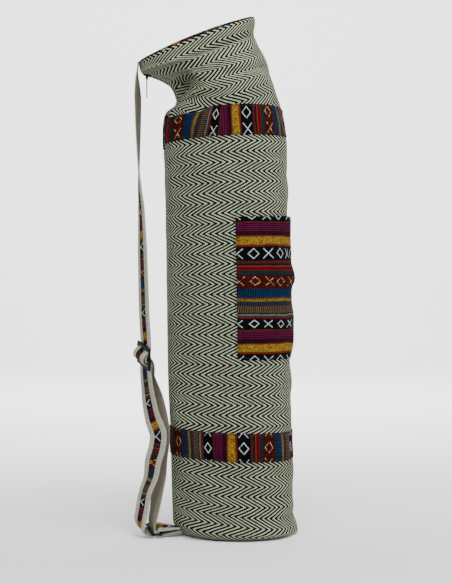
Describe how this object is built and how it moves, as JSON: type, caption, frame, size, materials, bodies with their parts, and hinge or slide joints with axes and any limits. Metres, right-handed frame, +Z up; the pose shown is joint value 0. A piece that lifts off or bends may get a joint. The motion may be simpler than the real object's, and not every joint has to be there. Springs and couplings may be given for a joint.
{
  "type": "yoga mat bag",
  "caption": "Tall round cloth bag for a rolled yoga mat, with a zip down its side, a slumped hood, woven bands, a patch pocket and a long shoulder strap.",
  "frame": {"origin": "on the surface that the bag stands on, in the middle of the flat base panel", "axes": "+Z up the bag, front towards -Y, zip and shoulder strap on the -X side"},
  "size_m": [0.2238, 0.1758, 0.7067],
  "materials": {
    "herringbone_cloth": "coarse herringbone weave",
    "striped_cloth": "woven stripes with crosses and diamonds",
    "canvas_strap": "matt canvas with a woven coloured strip",
    "zip_tape": "matt",
    "zip_metal": "dark satin",
    "black_plastic": "satin"
  },
  "bodies": {
    "bag": {"wall": "herringbone_cloth", "lower_band": "striped_cloth", "upper_band": "striped_cloth", "pocket": "striped_cloth", "base_panel": "herringbone_cloth", "top_disc": "striped_cloth", "zip_tape": "zip_tape", "zip_coil": "zip_tape", "zip_slider": "zip_metal", "strap_ring": "black_plastic", "strap_slide": "black_plastic", "strap": "canvas_strap", "ring_tab": "canvas_strap"},
    "pull": {"zip_pull": "zip_metal"}
  },
  "joints": [
    {"name": "pull_swing", "type": "hinge", "parent": "bag", "child": "pull", "pos_m": [-0.1177, -0.01769, 0.61769], "axis": [-0.0239, -0.9996, 0.016], "range_deg": [-15, 45]}
  ]
}
